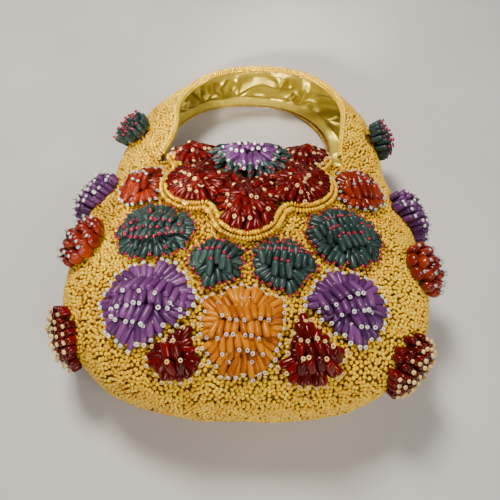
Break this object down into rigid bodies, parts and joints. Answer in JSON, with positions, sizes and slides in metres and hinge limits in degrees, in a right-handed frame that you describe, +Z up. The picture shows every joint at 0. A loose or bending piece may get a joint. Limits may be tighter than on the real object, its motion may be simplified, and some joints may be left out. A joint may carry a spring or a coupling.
{
  "type": "handbag",
  "caption": "Beaded top handle bag lying on its back, with a hollow pouch, arched lined handle, scalloped flap and bead flowers.",
  "frame": {"origin": "middle of the bag's extent seen from above, on the surface it lies on", "axes": "+Y from the bag's bottom to its handle, +Z up out of its front, +X to the right seen from the front with the handle up"},
  "size_m": [0.2678, 0.315, 0.0937],
  "materials": {
    "yellow_beads": "glossy opaque seed beads on cloth",
    "gold_satin": "shiny wrinkled satin",
    "purple_beads": "glossy oblong beads with white tip beads",
    "green_beads": "glossy oblong beads with crimson tip beads",
    "orange_beads": "glossy oblong beads with pale tip beads",
    "coral_beads": "glossy oblong beads with silver tip beads",
    "dark_red_beads": "glossy oblong beads with cream tip beads",
    "red_beads": "glossy oblong beads with cream tip beads"
  },
  "bodies": {
    "root": {"body": "yellow_beads", "handle": "yellow_beads", "handle_lining": "gold_satin", "flap": "yellow_beads", "flap_edging": "yellow_beads", "flap_petal_front": "red_beads", "flap_petal_left": "red_beads", "flap_petal_right": "red_beads", "flap_petal_back_left": "red_beads", "flap_petal_back_right": "red_beads", "flap_ring": "green_beads", "flap_centre": "purple_beads", "flower_purple_left": "purple_beads", "flower_purple_right": "purple_beads", "flower_orange": "orange_beads", "flower_dark_red_left": "dark_red_beads", "flower_dark_red_right": "dark_red_beads", "flower_green_left": "green_beads", "flower_green_right": "green_beads", "flower_small_green_left": "green_beads", "flower_small_green_right": "green_beads", "flower_coral_left": "coral_beads", "flower_coral_right": "coral_beads", "side_dark_red_left": "dark_red_beads", "side_dark_red_right": "dark_red_beads", "side_coral_left": "coral_beads", "side_coral_right": "coral_beads", "side_purple_left": "purple_beads", "side_purple_right": "purple_beads", "side_green_left": "green_beads", "side_green_right": "green_beads"}
  },
  "joints": []
}
